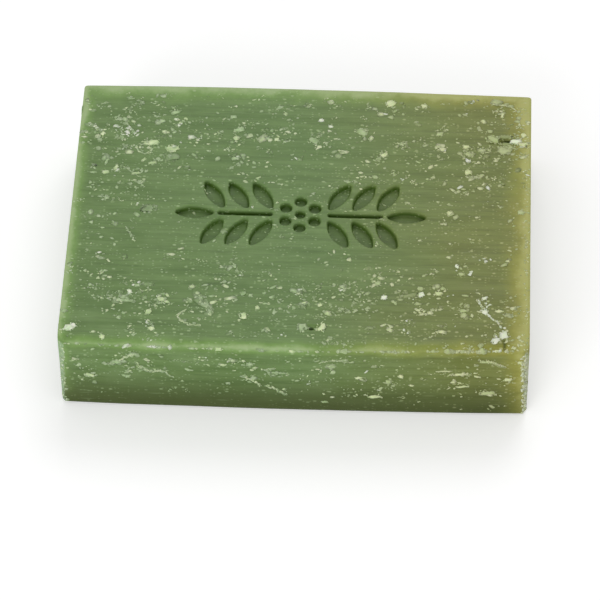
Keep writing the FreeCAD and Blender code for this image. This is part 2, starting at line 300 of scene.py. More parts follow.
def ringPoints(x, topRows):
    # a ring of points round the bar at each x, and the way each of them faces
    x = x[:, None]
    away = length / 2 - np.abs(x)
    half = bar["endWidth"] / 2 + bar["bow"] * (1 - (2 * x / length) ** 2) - bar["shy"]
    top = height - bar["shy"] - bevel(away, bar["rimBevel"])
    foot = bevel(away, bar["rimBevel"])
    edge, low = bar["topRadius"], bar["footRadius"]
    toLeft = np.clip(0.5 - x / 60, 0, 1)
    back = edge + (bar["backRadius"] - edge) * toLeft**2 * (3 - 2 * toLeft)
    rings = []

    def add(y, z, faceY, faceZ):
        rings.append(np.stack(np.broadcast_arrays(x, y, z, faceY, faceZ), 2))

    turns = np.radians(np.linspace(0, 90, 8))[None, 1:-1]
    few = np.radians(np.linspace(0, 90, 5))[None, 1:-1]
    drop = np.linspace(0, 1, 40)[None, :]
    backDrop = np.linspace(0, 1, 20)[None, ::-1]
    under = np.linspace(-1, 1, 26)[None, :]
    topRows = topRows[None, :] / topRows[0]
    sines, cosines, fewSines, fewCosines = np.sin(turns), np.cos(turns), np.sin(few), np.cos(few)
    add(topRows * (half - np.where(topRows > 0, back, edge)), top, 0 * topRows, 1)
    add(-(half - edge) - edge * sines, top - edge + edge * cosines, -sines, cosines)
    add(-half, top - edge + (foot + low - top + edge) * drop, -1 + 0 * drop, 0)
    add(-(half - low) - low * fewCosines, foot + low - low * fewSines, -fewCosines, -fewSines)
    add(under * (half - low), foot, 0 * under, -1)
    add(half - low + low * fewSines, foot + low - low * fewCosines, fewSines, -fewCosines)
    add(half, top - back + (foot + low - top + back) * backDrop, 1 + 0 * backDrop, 0)
    add(half - back + back * cosines, top - back + back * sines, cosines, sines)
    return np.concatenate(rings, 1)


def triangulate(loops, loose):
    # a flat mesh of closed loops and loose points; the first loop is the border
    points, edges = [], []
    for loop in loops:
        first = len(points)
        points += [Vector(p) for p in loop]
        count = len(loop)
        edges += [(first + n, first + (n + 1) % count) for n in range(count)]
    points += [Vector(p) for p in loose]
    made = delaunay_2d_cdt(points, edges, [], 1, 1e-7)
    sources = [min(source) if source else -1 for source in made[3]]
    return np.array([(p.x, p.y) for p in made[0]]), [tuple(face) for face in made[2]], sources


def numberPoints(points, sources, border, first):
    # the border's points keep their numbers, and the others are new ones that follow from first
    ids, extra = [], []
    for point, source in zip(points, sources):
        if 0 <= source < len(border):
            ids.append(border[source])
        else:
            ids.append(first + len(extra))
            extra.append(point)
    return ids, np.array(extra)


def scatterGrid(x0, x1, y0, y1, step):
    xs, ys = np.meshgrid(np.arange(x0, x1, step), np.arange(y0, y1, step))
    points = np.stack([xs.ravel(), ys.ravel()], 1)
    return points + rng.uniform(-0.3, 0.3, points.shape) * step


def scoop(points, crackShade, centre, radii, direction, rough, dark):
    # push what lies inside an ellipsoid along direction, down to its ragged wall
    radii = np.array(radii) * (1 + rough * noise(points, (0.7, 0.6, 0.6), 9))[:, None]
    place = (points - np.array(centre)) / radii
    way = np.array(direction, float) / radii
    inside = (place**2).sum(1) < 1
    # how far along way the wall lies, from the quadratic that a sphere gives
    a, b, c = (way**2).sum(1), 2 * (place * way).sum(1), (place**2).sum(1) - 1
    push = (-b + np.sqrt(np.maximum(b**2 - 4 * a * c, 0))) / (2 * a)
    # how much painted shade the inside of this hollow gets
    crackShade[inside] = np.maximum(crackShade[inside], dark)
    return points + np.where(inside, push, 0)[:, None] * np.array(direction)


def makeSkin():
    columns = np.array(bar["endColumns"])
    end = length / 2 - bar["endShy"]
    middle = spread(-end + bar["endSpan"], end - bar["endSpan"], bar["step"], bar["fineAlong"])
    x = np.concatenate([-end + columns, middle, (end - columns)[::-1]])
    topRows = spread(-bar["topReach"], bar["topReach"], bar["step"], bar["fineAcross"])[::-1]
    rings = ringPoints(x, topRows)
    count, around = rings.shape[:2]
    flat = rings.reshape(-1, 5)
    depth = relief(flat[:, :3]) * np.where(flat[:, 4] < -0.9, 0.3, 1)
    grid = flat[:, :3].copy()
    bevelCorners(grid)
    leanFront(grid)
    grid[:, 1] -= flat[:, 3] * depth
    grid[:, 2] -= flat[:, 4] * depth

    # the area around the ornament gets a mesh of its own
    halfX, halfY = stamp["patch"]
    i0, i1 = np.searchsorted(x, (-halfX, halfX))
    rowY = rings[count // 2, : len(topRows), 1]
    j0, j1 = np.searchsorted(-rowY, (-halfY, halfY))
    border = [(i, j0) for i in range(i0, i1)] + [(i1, j) for j in range(j0, j1)]
    border += [(i, j1) for i in range(i1, i0, -1)] + [(i0, j) for j in range(j1, j0, -1)]
    borderIds = [i * around + j for i, j in border]
    borderLoop = grid[borderIds][:, :2]
    loops = [borderLoop] + [loop for offset, _ in profile for loop in outlines(offset)]
    inset, (clearInside, clearOutside) = stamp["patchInset"], stamp["clear"]
    x0, x1, y0, y1 = x[i0] + inset, x[i1] - inset, rowY[j1] + inset, rowY[j0] - inset
    loose = scatterGrid(x0, x1, y0, y1, stamp["patchStep"])
    loose = loose[((loose > (x0, y0)) & (loose < (x1, y1))).all(1)]
    gap = stampDistance(*loose.T)
    loose = loose[(gap > clearOutside) | (gap < -clearInside)]
    flatPoints, patchFaces, sources = triangulate(loops, loose)
    print("ornament patch", len(flatPoints), "points")
    base = np.column_stack([flatPoints, np.full(len(flatPoints), height - bar["shy"])])
    wobble = 0.02 * noise(base, (0.9, 0.9, 9), 21) + 0.015 * noise(base, (3, 3, 9), 22)
    gap = stampDistance(*base[:, :2].T) + wobble
    sunk = np.interp(gap, profile[:, 0], profile[:, 1])
    lumps = 0.05 * noise(base, (1.6, 1.1, 9), 23) + 0.03 * noise(base, (0.6, 0.5, 9), 24)
    base[:, 2] += sunk - relief(base) + np.where(sunk < -0.8, lumps, 0)  # on its floor alone
    patchIds, extra = numberPoints(base, sources, borderIds, len(grid))
    points = np.concatenate([grid, extra])

    faces = []
    for i in range(count - 1):
        for j in range(around):
            if i0 <= i < i1 and j0 <= j < j1:
                continue
            first, after = i * around, (j + 1) % around
            faces.append((first + j, first + after, first + around + after, first + around + j))
    faces += [tuple(patchIds[v] for v in face) for face in patchFaces]

    # the cut ends, with loose points that keep clear of their rims and top corners
    for i, sign in ((0, -1), (count - 1, 1)):
        ids = list(range(i * around, (i + 1) * around))
        loop = grid[ids][:, 1:]
        loose = scatterGrid(-31, 31, 0.9, height - 0.9, 0.7)
        across, rise = np.abs(loose[:, 0]), loose[:, 1]
        clear = (across < loop[:, 0].max() - 1.3) & (rise > 1) & (rise < loop[:, 1].max() - 0.5)
        corner = (across > 29) & (rise > height - 2.8)
        flatPoints, endFaces, sources = triangulate([loop], loose[clear & ~corner])
        base = np.insert(flatPoints, 0, sign * end, axis=1)
        endIds, extra = numberPoints(base, sources, ids, len(points))
        saw = 0.04 + 0.03 * noise(extra, (9, 2.2, 20), 31) + 0.02 * noise(extra, (9, 0.9, 6), 32)
        extra[:, 0] -= sign * saw
        points = np.concatenate([points, extra])
        faces += [tuple(endIds[v] for v in face) for face in endFaces]

    # torn pit, nick, tear and cracks, with painted shade in the cracks
    crackShade = np.zeros(len(points))
    for hole in bar["holes"]:
        points = scoop(points, crackShade, *hole)

    used = np.unique(np.concatenate([np.array(f) for f in faces]))
    renumber = np.full(len(points), -1)
    renumber[used] = np.arange(len(used))
    faces = [tuple(int(renumber[v]) for v in face) for face in faces]
    return np.clip(points[used], boxLow, boxHigh), faces, crackShade[used]


def addMesh(name, points, faces, materials, smooth=True, kinds=None):
    mesh = bpy.data.meshes.new(name)
    mesh.from_pydata((np.asarray(points) * mm).tolist(), [], faces)
    mesh.polygons.foreach_set("use_smooth", [smooth] * len(faces))
    for material in materials:
        mesh.materials.append(material)
    if kinds is not None:
        mesh.polygons.foreach_set("material_index", kinds)
    shape = bmesh.new()
    shape.from_mesh(mesh)
    bmesh.ops.recalc_face_normals(shape, faces=shape.faces)
    shape.to_mesh(mesh)
    shape.free()
    made = bpy.data.objects.new(name, mesh)
    bpy.context.scene.collection.objects.link(made)
    return made


skinPoints, skinFaces, skinCrackShade = makeSkin()
print("skin", len(skinPoints), "points", len(skinFaces), "faces")
surface = BVHTree.FromPolygons(skinPoints.tolist(), skinFaces)


def touch(x, y, side="top"):
    # where a flake at these two coordinates sits on the skin, and the way it faces
    drawnIn = bar["frontLean"] * min(max(x / bar["leanSpan"], 0), 1) + bar["bow"] * (2 * x / length) ** 2
    edgeY, edgeZ = drawnIn - bar["endWidth"] / 2, 17.4  # just inside the front top edge
    slant, off = 0.7071, 20  # how far off the edge the rays start
    cornerX, cornerY = 62, 51  # the same for the corners
    along, down = math.cos(y), math.sin(y)
    rays = {
        "top": ((x, y, 40), (0, 0, -1)),
        "front": ((x, -60, y), (0, 1, 0)),
        "back": ((x, 60, y), (0, -1, 0)),
        "left": ((-70, x, y), (1, 0, 0)),
        "right": ((70, x, y), (-1, 0, 0)),
        "ridge": ((x, edgeY - off * along, edgeZ + off * down), (0, along, -down)),
        "leftCorner": ((x - cornerX, -x - cornerY, y), (slant, slant, 0)),
        "rightCorner": ((cornerX + x, x - cornerY, y), (-slant, slant, 0)),
    }
    origin, direction = rays[side]
    spot, facing, _, _ = surface.ray_cast(Vector(origin), Vector(direction))
    if spot is None:
        return None, None
    if facing.dot(Vector(direction)) > 0:
        facing = -facing
    return spot, facing


# Shader wiring
def operator(kind, swapped=False):
    def work(self, other):
        return self.graph.math(kind, *((other, self) if swapped else (self, other)))
    return work


class Wire:
    # a socket that takes part in sums
    def __init__(self, graph, socket):
        self.graph, self.socket = graph, socket

    __add__, __radd__ = operator("ADD"), operator("ADD", True)
    __sub__, __rsub__ = operator("SUBTRACT"), operator("SUBTRACT", True)
    __mul__, __rmul__ = operator("MULTIPLY"), operator("MULTIPLY", True)
    __truediv__, __rtruediv__ = operator("DIVIDE"), operator("DIVIDE", True)


class Graph:
    # the nodes of a material or a world
    def __init__(self, owner):
        self.owner = owner
        owner.use_nodes = True
        self.tree = owner.node_tree
        self.tree.nodes.clear()

    def add(self, kind, settings, values, output=0):
        made = self.tree.nodes.new("ShaderNode" + kind)
        for name, value in settings.items():
            setattr(made, name, value)
        for name, value in values.items():
            if isinstance(value, Wire):
                self.tree.links.new(value.socket, made.inputs[name])
            else:
                made.inputs[name].default_value = value
        return None if output is None else Wire(self, made.outputs[output])

    def math(self, operation, *values):
        return self.add("Math", {"operation": operation}, dict(enumerate(values)))

    def mix(self, amount, first, second):
        return self.add("Mix", {"data_type": "RGBA"}, {0: amount, 6: colour(first), 7: colour(second)}, 2)

    def place(self):
        # where a point lies on the object in millimetres, as a vector and as x, y and z
        whole = self.add("TexCoord", {}, {}, "Object")
        vector = self.add("VectorMath", {"operation": "SCALE"}, {0: whole, "Scale": 1 / mm})
        parts = self.add("SeparateXYZ", {}, {0: vector}, 0).socket.node.outputs
        return vector, *(Wire(self, parts[n]) for n in range(3))

    def stretch(self, vector, factors):
        return self.add("VectorMath", {"operation": "MULTIPLY"}, {0: vector, 1: factors})

    def ramp(self, value, start, end, low=0.0, high=1.0):
        values = {0: value, 1: start, 2: end, 3: low, 4: high}
        return self.add("MapRange", {"interpolation_type": "SMOOTHSTEP"}, values)

    def clouds(self, place, factors, detail=2.0, roughness=0.5):
        vector = self.stretch(place, factors)
        values = {"Vector": vector, "Scale": 1.0, "Detail": detail, "Roughness": roughness}
        return self.add("TexNoise", {}, values)

    def cells(self, place, factors):
        # distance to the nearest cell point, and a random number for the cell
        near = self.add("TexVoronoi", {}, {"Vector": self.stretch(place, factors), "Scale": 1.0})
        tint = Wire(self, near.socket.node.outputs["Color"])
        return near, self.add("SeparateColor", {}, {0: tint})

    def finish(self, shader, output="OutputMaterial"):
        self.add(output, {}, {"Surface": shader}, None)
        return self.owner


def colour(value):
    return value if isinstance(value, Wire) else (*value, 1.0)


black = (0.0, 0.0, 0.0)
soapLook = {
    "green": (0.127, 0.224, 0.059),
    "olive": (0.166, 0.188, 0.028),
    # painted light near the edges: a lighter green, and a paler rim nearest them
    "edgeGreen": (0.225, 0.375, 0.1),
    "edgeOlive": (0.35, 0.335, 0.058),
    "rim": (0.4, 0.51, 0.26),
    "rimOlive": (0.46, 0.47, 0.16),
    "edgeReach": (2.9, 5.9, 2.9, 5.4, 2.9),  # left, right, front, back, down from the top
    "frontReachRight": 4.2,
    "haze": (0.27, 0.38, 0.18),
    "hazeOlive": (0.3, 0.345, 0.135),
    "streak": (0.6, 0.7, 0.4),
    "speck": (0.4, 0.53, 0.27),
    "speckOlive": (0.5, 0.52, 0.24),
    # painted shade colour for the ornament's hollows and the cracks
    "sunk": (0.048, 0.108, 0.004),
    "rind": (0.36, 0.5, 0.3),  # the crumbly front corners, left and right
    "rindRight": (0.54, 0.58, 0.43),
    "rindTop": (1.15, 0.75),  # width on the left and on the right, at the top and at the foot
    "rindFoot": (0.45, 0.6),
    # painted shade colour for the foot
    "foot": (0.062, 0.08, 0.018),
    "stampFrom": (18.2, 23),  # the ornament's shade starts this far in from the ends and sides
    "clouds": {  # lumps per millimetre along x, y and z, detail, roughness
        "drift": ((0.03, 0.05, 0.05), 2, 0.5),
        "streaks": ((0.045, 0.62, 0.62), 5, 0.7),
        "fine": ((0.1, 2.3, 2.3), 3, 0.6),
        "mottle": ((0.16, 0.3, 0.3), 3, 0.6),
        "uneven": ((0.14, 0.14, 0.25), 4, 0.65),
        "broken": ((0.13, 0.9, 0.9), 3, 0.6),
        "ragged": ((1.2, 1.2, 1), 3, 0.7),
        "crowd": ((0.1, 0.16, 0.2), 2, 0.5),
        "grain": ((2.2, 3.4, 3.4), 2, 0.5),
    },
    # cells per millimetre, reach of a mark in its cell, pull of the crowd, odds
    "specks": ((0.75, 1.25, 1.25), (0.34, 0.14), 0.9, (1.22, 1.34)),
    "dust": ((1.6, 2.9, 2.9), (0.42, 0.2), 0.8, (1.12, 1.3)),
    "scratches": ((0.16, 2.1, 2.1), (0.3, 0.1), 0.5, (1.06, 1.2)),
    "roughness": (0.36, 0.6),
    "subsurface": 0.25,
    "scatter": (0.7, 1, 0.4),
    "scatterReach": 0.0012,
    "ior": 1.46,
    "specular": 0.3,
}


def soapMaterial():
    g = Graph(bpy.data.materials.new("soap"))
    look = soapLook
    place, x, y, z = g.place()
    patterns = (g.clouds(place, *row) for row in look["clouds"].values())
    drift, streaks, fine, mottle, uneven, broken, ragged, crowd, grain = patterns

    # green on the left, more olive towards the right end
    toRight = g.ramp(x + drift * 24 - 12, -4, 44)
    base = g.mix(toRight, look["green"], look["olive"])
    haze = g.mix(toRight, look["haze"], look["hazeOlive"])
    speck = g.mix(toRight, look["speck"], look["speckOlive"])
    base = g.mix(g.ramp(streaks, 0.3, 0.7), g.mix(0.84, black, base), g.mix(0.07, base, look["streak"]))
    base = g.mix(g.ramp(fine, 0.5, 0.34, 0, 0.16), base, black)
    base = g.mix(g.ramp(fine, 0.54, 0.72, 0, 0.14), base, haze)
    base = g.mix(g.ramp(mottle, 0.35, 0.75, 0, 0.25), base, haze)

    # painted light near the edges, for light that comes through them, further in at the back and on the
    # right
    left, right, front, back, down = look["edgeReach"]
    fromEnd = length / 2 - g.math("ABSOLUTE", x)
    fromSide = boxHigh[1] - g.math("ABSOLUTE", y)
    below = height - z
    frontHere = g.ramp(x, 0, bar["leanSpan"], front, look["frontReachRight"])
    ends = fromEnd / g.ramp(x, -1, 1, left, right)
    sides = fromSide / g.ramp(y, -1, 1, frontHere, back)
    lower = g.math("MINIMUM", g.math("MAXIMUM", ends, sides), below / down)
    near = g.math("MAXIMUM", g.math("MINIMUM", ends, sides), lower)
    near = near + uneven * 1.1 - 0.55 - g.ramp(y, 20, 31, 0, 0.14)
    edge = g.mix(toRight, look["edgeGreen"], look["edgeOlive"])
    rim = g.mix(toRight, look["rim"], look["rimOlive"])
    # painted light: first the edge colour, then the paler rim
    base = g.mix(g.ramp(near, 1, 0.1, 0, 0.85), base, edge)
    base = g.mix(g.ramp(near, 0.48, 0.08, 0, 0.75), base, rim)
    # painted shade, darker towards the foot, most on the front and less at the right end
    shade = g.ramp(z, 13, 0.3) * g.ramp(y, -28, -31, 0.35, 0.88) * g.ramp(x, 35, 42, 1, 0.5)
    base = g.mix(shade, base, look["foot"])

    # a broken pale line along the front top edge
    drawnIn = g.ramp(x, 0, bar["leanSpan"], 0, bar["frontLean"])
    ridge = g.ramp(fromSide + below - drawnIn, 1.5, 1.05) * g.ramp(y, -28, -30)
    base = g.mix(ridge * g.ramp(broken, 0.45, 0.58) * 0.5, base, speck)

    # painted shade down in the ornament, more so on its walls than on its floor, and in the cracks
    patchEnd, patchSide = look["stampFrom"]
    inPatch = g.ramp(fromEnd, patchEnd - 0.6, patchEnd) * g.ramp(fromSide, patchSide - 0.6, patchSide)
    stamped = g.ramp(below, 0.3, 1) * inPatch
    base = g.mix(stamped * g.ramp(below, 1.2, 1.36, 1, 0.5) * 0.78, base, look["sunk"])
    # painted shade in the cracks, read from the skin's attribute
    crackShade = g.add("Attribute", {"attribute_name": "crackShade"}, {}, "Fac")
    base = g.mix(crackShade * 0.9, base, g.mix(0.6, look["sunk"], black))

    # the crumbly bevels of the front corners
    spans = zip(look["rindFoot"], look["rindTop"])
    leftWidth, rightWidth = (g.ramp(below, 18, 0.5, foot, top) for foot, top in spans)
    rightSide = g.ramp(x, -1, 1)
    width = leftWidth * (1 - rightSide) + rightWidth * rightSide + ragged * 0.6 - 0.4
    rind = g.ramp(fromEnd - width, 0.3, 0) * g.ramp(y, -29.6, -30.1) * g.ramp(below, 1.1, 1.9)
    crumbly = g.mix(rightSide, look["rind"], look["rindRight"])
    base = g.mix(rind * g.ramp(ragged, 0.3, 0.6, 0.4, 0.85), base, crumbly)

    def strewn(factors, reach, byCrowd, odds):
        # small marks, thicker in some places than in others
        near, chance = g.cells(place, factors)
        return g.ramp(near, *reach) * g.ramp(chance + crowd * byCrowd, *odds)

    specks = strewn(*look["specks"]) * g.ramp(z, 2, 9, 0.4, 1)
    dust = strewn(*look["dust"]) * g.ramp(z, 2, 9, 0.3, 1)
    scratches = strewn(*look["scratches"])
    base = g.mix(scratches * 0.4, base, haze)
    base = g.mix(dust * 0.5, base, speck)
    base = g.mix(specks * 0.7 * (1 - stamped * 0.8), base, speck)

    bumps = fine * 0.5 + grain * 0.25 + specks * 0.8 + dust * 0.4 + scratches * 0.2
    least, most = look["roughness"]
    shader = g.add("BsdfPrincipled", {}, {
        "Base Color": base,
        "Roughness": g.ramp(mottle + fine * 0.3, 0.3, 1, least, most),
        "Subsurface Weight": look["subsurface"],
        "Subsurface Radius": look["scatter"],
        "Subsurface Scale": look["scatterReach"],
        "IOR": look["ior"],
        "Specular IOR Level": look["specular"],
        "Normal": g.add("Bump", {}, {"Strength": 0.55, "Distance": 0.00012, "Height": bumps}),
    })
    return g.finish(shader)


def flakeMaterial(name, dim, bright, warm, roughness):
    # the flakes turn warmer towards the right end, as the bar does
    g = Graph(bpy.data.materials.new(name))
    place, x, _, _ = g.place()
    patches = g.clouds(place, (0.7, 0.7, 0.7), 3, 0.6)
    grain = g.clouds(place, (5, 5, 5))
    base = g.mix(g.ramp(patches, 0.35, 0.65), dim, bright)
    base = g.mix(g.ramp(x, -6, 34, 0, 0.75), base, warm)
    shader = g.add("BsdfPrincipled", {}, {
        "Base Color": base,
        "Roughness": g.ramp(grain, 0.3, 0.7, roughness - 0.1, roughness + 0.1),
        "Subsurface Weight": 0.3,
        "Subsurface Radius": (0.7, 1, 0.5),
        "Subsurface Scale": 0.0006,
        "IOR": soapLook["ior"],
        "Specular IOR Level": 0.25,
        "Normal": g.add("Bump", {}, {"Strength": 0.5, "Distance": 0.00008, "Height": grain}),
    })
    return g.finish(shader)


flakeLooks = {  # dim and bright patches, the tint towards the right end, roughness
    "thin_film": ((0.215, 0.318, 0.135), (0.295, 0.41, 0.2), (0.32, 0.345, 0.14), 0.42),
    "pale_flake": ((0.315, 0.445, 0.215), (0.48, 0.63, 0.345), (0.5, 0.55, 0.25), 0.5),
    "cream_flake": ((0.47, 0.62, 0.305), (0.72, 0.85, 0.49), (0.68, 0.72, 0.37), 0.5),
    "frost_flake": ((0.58, 0.74, 0.45), (0.93, 1, 0.78), (0.8, 0.88, 0.62), 0.42),
}
soap = soapMaterial()
looks = [flakeMaterial(name, *row) for name, row in flakeLooks.items()]
film, pale, creamy, frosty = range(4)

skin = addMesh("soap_skin", skinPoints, skinFaces, [soap])
# the painted shade of the cracks, kept on the skin's points
skin.data.attributes.new("crackShade", "FLOAT", "POINT").data.foreach_set("value", skinCrackShade)
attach(skin, "root")
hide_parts("soap_bar")
print("skin made")


# Loose flakes and crumbs
def ball(divisions):
    shape = bmesh.new()
    bmesh.ops.create_icosphere(shape, subdivisions=divisions, radius=1)
    points = np.array([tuple(v.co) for v in shape.verts])
    faces = [tuple(v.index for v in face.verts) for face in shape.faces]
    shape.free()
    return points, faces


class Heap:
    # gathers flakes into one mesh; the lower the block, the squarer they are
    def __init__(self, name, divisions, ragged, block):
        self.name, self.ragged, self.block = name, ragged, block
        self.points, self.faces = ball(divisions)
        self.all, self.polygons, self.kinds = [], [], []

    def drop(self, x, y, long, wide, thick, turn, kind, side="top"):
        spot, facing = touch(x, y, side)
        if spot is None:
            return
        along = Vector((1, 0, 0)) if abs(facing.x) < 0.8 else Vector((0, 1, 0))
        along = (along - facing * along.dot(facing)).normalized()
        across = facing.cross(along)
        c, s = math.cos(math.radians(turn)), math.sin(math.radians(turn))
        swings = rng.normal(0, self.ragged, 3)
        around = np.arctan2(self.points[:, 1], self.points[:, 0])
        waves = sum(r * np.sin((n + 2) * around + 9 * r) for n, r in enumerate(swings))
        jitter = rng.uniform(-1, 1, (len(self.points), 1)) * self.ragged
        lumpy = self.points * (1 + jitter + 0.6 * waves[:, None])
        u, v = (np.sign(lumpy[:, :2]) * np.abs(lumpy[:, :2]) ** self.block * (long, wide) / 2).T
        w = np.maximum(lumpy[:, 2], -0.5) * thick + thick * 0.1 + u * rng.normal(0, 0.05)
        u, v = u * c - v * s, u * s + v * c
        shape = np.array(spot) + u[:, None] * np.array(along) + v[:, None] * np.array(across)
        shape = shape + w[:, None] * np.array(facing)
        first = len(self.all) * len(self.points)
        self.all.append(shape)
        self.polygons += [tuple(first + n for n in face) for face in self.faces]
        self.kinds += [kind] * len(self.faces)

    def make(self):
        points = np.clip(np.concatenate(self.all), boxLow, boxHigh)
        made = addMesh(self.name, points, self.polygons, looks, True, self.kinds)
        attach(made, "root")
        print(self.name, len(self.all), "flakes", len(self.polygons), "faces")
        return made


bigHeap = Heap("soap_flakes", 2, 0.27, 0.72)
smallHeap = Heap("soap_crumbs", 1, 0.3, 0.85)
ridgeSpread = 0.04  # on the ridge the second coordinate is an angle in radians

